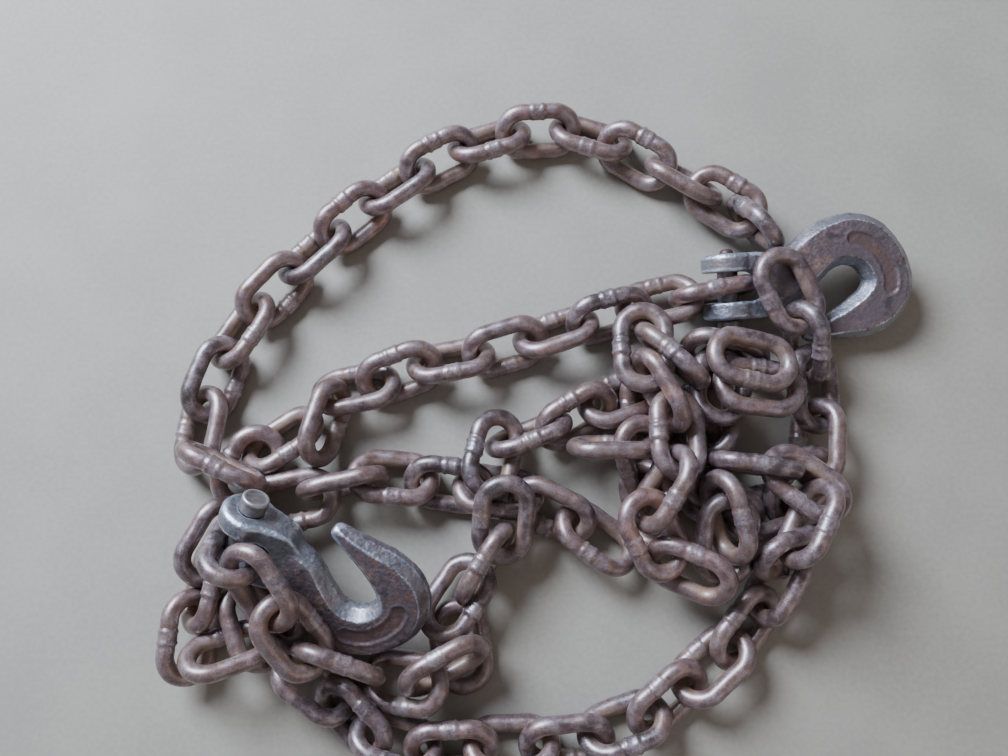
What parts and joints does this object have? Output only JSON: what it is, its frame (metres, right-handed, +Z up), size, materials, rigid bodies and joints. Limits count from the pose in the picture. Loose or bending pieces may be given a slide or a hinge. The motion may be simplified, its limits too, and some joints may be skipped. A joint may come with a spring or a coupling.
{
  "type": "heap of steel chain",
  "caption": "Heap of rusty welded-link steel chain with a clevis hook at each end, lying loose on the floor.",
  "frame": {"origin": "on the floor under the middle of the heap's box", "axes": "+X to the picture's right, +Y away from its lower edge, +Z up from the floor"},
  "size_m": [0.4152, 0.374, 0.0684],
  "materials": {
    "rusty_wire": "rusted, brown with a pale worn sheen on top",
    "forged_steel": "forged, dark red-brown with edges worn bright",
    "worn_steel": "worn bare steel"
  },
  "bodies": {
    "root": {"hook_1": "forged_steel", "hook_1_pin": "worn_steel", "hook_2": "forged_steel", "hook_2_pin": "worn_steel", "link_95": "rusty_wire", "links_01_02": "rusty_wire", "links_03_04": "rusty_wire", "links_05_06": "rusty_wire", "links_07_08": "rusty_wire", "links_09_10": "rusty_wire", "links_11_12": "rusty_wire", "links_13_14": "rusty_wire", "links_15_16": "rusty_wire", "links_17_18": "rusty_wire", "links_19_20": "rusty_wire", "links_21_22": "rusty_wire", "links_23_24": "rusty_wire", "links_25_26": "rusty_wire", "links_27_28": "rusty_wire", "links_29_30": "rusty_wire", "links_31_32": "rusty_wire", "links_33_34": "rusty_wire", "links_35_36": "rusty_wire", "links_37_38": "rusty_wire", "links_39_40": "rusty_wire", "links_41_42": "rusty_wire", "links_43_44": "rusty_wire", "links_45_46": "rusty_wire", "links_47_48": "rusty_wire", "links_49_50": "rusty_wire", "links_51_52": "rusty_wire", "links_53_54": "rusty_wire", "links_55_56": "rusty_wire", "links_57_58": "rusty_wire", "links_59_60": "rusty_wire", "links_61_62": "rusty_wire", "links_63_64": "rusty_wire", "links_65_66": "rusty_wire", "links_67_68": "rusty_wire", "links_69_70": "rusty_wire", "links_71_72": "rusty_wire", "links_73_74": "rusty_wire", "links_75_76": "rusty_wire", "links_77_78": "rusty_wire", "links_79_80": "rusty_wire", "links_81_82": "rusty_wire", "links_83_84": "rusty_wire", "links_85_86": "rusty_wire", "links_87_88": "rusty_wire", "links_89_90": "rusty_wire", "links_91_92": "rusty_wire", "links_93_94": "rusty_wire"}
  },
  "joints": []
}
